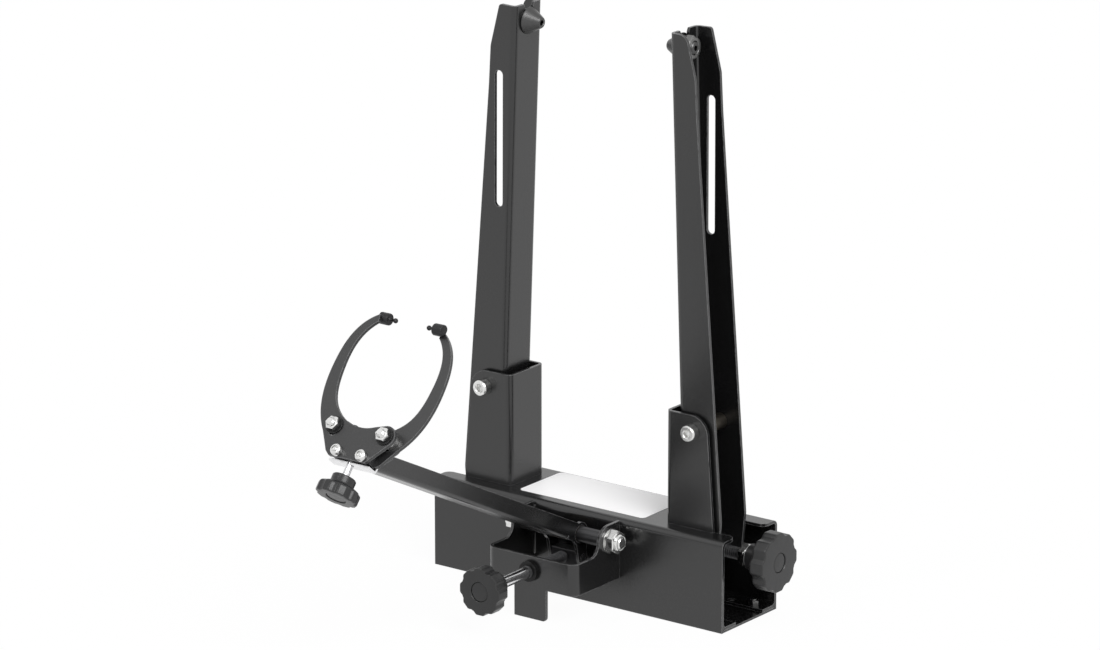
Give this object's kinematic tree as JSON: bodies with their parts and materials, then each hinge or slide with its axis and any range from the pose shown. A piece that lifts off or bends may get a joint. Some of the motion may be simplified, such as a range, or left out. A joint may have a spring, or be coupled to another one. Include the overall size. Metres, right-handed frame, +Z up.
{
  "type": "bicycle wheel truing stand",
  "caption": "Bench stand that holds a bicycle wheel between two tapered arms, with a lobed knob to set their width and a tilting caliper arm whose tips gauge the rim.",
  "frame": {"origin": "middle of the base's underside, which rests on the bench", "axes": "+X along the base to the width knob, +Y to the rear, away from the caliper arm, +Z up along the arms"},
  "size_m": [0.3136, 0.3893, 0.4703],
  "materials": {
    "powder_coat": "semi-matt fine-grain powder coat",
    "caliper_coat": "semi-matt fine-grain powder coat",
    "bright_zinc": "bright zinc plating",
    "satin_zinc": "satin turned zinc",
    "dark_steel": "blackened steel",
    "chrome": "polished chrome",
    "knob_plastic": "matt black moulding",
    "bronze": "sintered bronze"
  },
  "bodies": {
    "stand": {"base_body": "powder_coat", "base_floor": "powder_coat", "floor_screws": "bright_zinc", "floor_nuts": "bright_zinc", "left_bracket": "powder_coat", "right_bracket": "powder_coat", "front_bracket": "powder_coat", "pivot_bolts": "bright_zinc", "pivot_nuts": "bright_zinc", "pivot_washers": "bright_zinc", "spindle_bearing_bracket": "powder_coat", "spindle_bush": "bronze", "caliper_pivot_bolt": "bright_zinc", "caliper_pivot_nut": "bright_zinc", "caliper_pivot_washers": "bright_zinc", "caliper_pivot_spacers": "dark_steel", "adjuster_bush": "dark_steel", "adjuster_bush_nut": "dark_steel"},
    "spindle": {"spindle": "dark_steel", "spindle_collars": "bright_zinc", "spindle_lock_nut": "bright_zinc", "spindle_washer": "bright_zinc", "width_knob": "knob_plastic", "width_knob_cap": "knob_plastic"},
    "left_nut": {"left_trunnion_nut": "dark_steel"},
    "right_nut": {"right_trunnion_nut": "dark_steel"},
    "left_arm": {"left_arm": "powder_coat", "left_arm_sleeve": "bronze", "left_cone": "satin_zinc", "left_cone_washer": "dark_steel", "left_cone_nut": "bright_zinc"},
    "right_arm": {"right_arm": "powder_coat", "right_arm_sleeve": "bronze", "right_cone": "satin_zinc", "right_cone_washer": "dark_steel", "right_cone_nut": "bright_zinc"},
    "swivel": {"adjuster_swivel": "dark_steel"},
    "height_screw": {"adjuster_screw": "chrome", "adjuster_collar": "dark_steel", "adjuster_knob": "knob_plastic", "adjuster_knob_cap": "knob_plastic"},
    "caliper_arm": {"caliper_arm": "powder_coat", "caliper_arm_sleeve": "bronze", "caliper_carrier": "powder_coat", "head_bolts": "bright_zinc", "head_washers": "bright_zinc", "head_spacers": "bright_zinc", "head_nuts": "bright_zinc"},
    "yoke": {"caliper_yoke": "dark_steel"},
    "caliper_screw": {"caliper_screw": "chrome", "caliper_screw_collar": "dark_steel", "caliper_knob": "knob_plastic", "caliper_knob_cap": "knob_plastic"},
    "left_caliper": {"left_caliper": "caliper_coat", "left_caliper_screws": "bright_zinc", "left_tip": "dark_steel"},
    "right_caliper": {"right_caliper": "caliper_coat", "right_caliper_pin": "bright_zinc", "right_tip": "dark_steel"}
  },
  "joints": [
    {"name": "right_arm_lean", "type": "hinge", "parent": "stand", "child": "right_arm", "pos_m": [0.1022, 0, 0.1546], "axis": [0, 1, 0], "range_deg": [-4.78, 4.78]},
    {"name": "left_arm_lean", "type": "hinge", "parent": "stand", "child": "left_arm", "pos_m": [-0.1022, 0, 0.1546], "axis": [0, 1, 0], "range_deg": [-4.9, 4.9]},
    {"name": "width_knob_turn", "type": "hinge", "parent": "stand", "child": "spindle", "pos_m": [0, 0, 0.0543], "axis": [1, 0, 0], "range_deg": [-1530, 1530]},
    {"name": "right_nut_travel", "type": "slide", "parent": "stand", "child": "right_nut", "axis": [1, 0, 0], "range_m": [-0.0085, 0.0085]},
    {"name": "left_nut_travel", "type": "slide", "parent": "stand", "child": "left_nut", "axis": [1, 0, 0], "range_m": [-0.0085, 0.0085]},
    {"name": "caliper_arm_lift", "type": "hinge", "parent": "stand", "child": "caliper_arm", "pos_m": [0, -0.0515, 0.061], "axis": [1, 0, 0], "range_deg": [-31.9, 4.45]},
    {"name": "swivel_travel", "type": "slide", "parent": "stand", "child": "swivel", "axis": [0, 1, 0], "range_m": [-0.0123, 0.0018]},
    {"name": "height_knob_turn", "type": "hinge", "parent": "swivel", "child": "height_screw", "pos_m": [0, -0.09, 0.0399], "axis": [0, 1, 0], "range_deg": [-2960, 425]},
    {"name": "yoke_travel", "type": "slide", "parent": "caliper_arm", "child": "yoke", "axis": [0, 0.6374, 0.7705], "range_m": [-0.00046, 0.00373]},
    {"name": "caliper_knob_turn", "type": "hinge", "parent": "yoke", "child": "caliper_screw", "pos_m": [0, -0.32987, 0.17404], "axis": [0, 0.6374, 0.7705], "range_deg": [-172, 1370]},
    {"name": "left_caliper_swing", "type": "hinge", "parent": "caliper_arm", "child": "left_caliper", "pos_m": [0.0239, -0.30851, 0.20724], "axis": [0, -0.7705, 0.6374], "range_deg": [-6.1, 0.8]},
    {"name": "right_caliper_swing", "type": "hinge", "parent": "caliper_arm", "child": "right_caliper", "pos_m": [-0.0239, -0.30126, 0.20125], "axis": [0, -0.7705, 0.6374], "range_deg": [-0.8, 6.1]}
  ],
  "couplings": [
    {"joint": "left_arm_lean", "follows": "right_arm_lean", "ratio": -1},
    {"joint": "width_knob_turn", "follows": "right_arm_lean", "ratio": 315.1},
    {"joint": "right_nut_travel", "follows": "right_arm_lean", "m_per_rad": -0.1003},
    {"joint": "left_nut_travel", "follows": "right_arm_lean", "m_per_rad": 0.1003},
    {"joint": "swivel_travel", "follows": "caliper_arm_lift", "m_per_rad": 0.02177},
    {"joint": "height_knob_turn", "follows": "caliper_arm_lift", "ratio": 91.19},
    {"joint": "left_caliper_swing", "follows": "yoke_travel", "rad_per_m": -28.011},
    {"joint": "right_caliper_swing", "follows": "yoke_travel", "rad_per_m": 28.011},
    {"joint": "caliper_knob_turn", "follows": "yoke_travel", "rad_per_m": 6283.2}
  ]
}
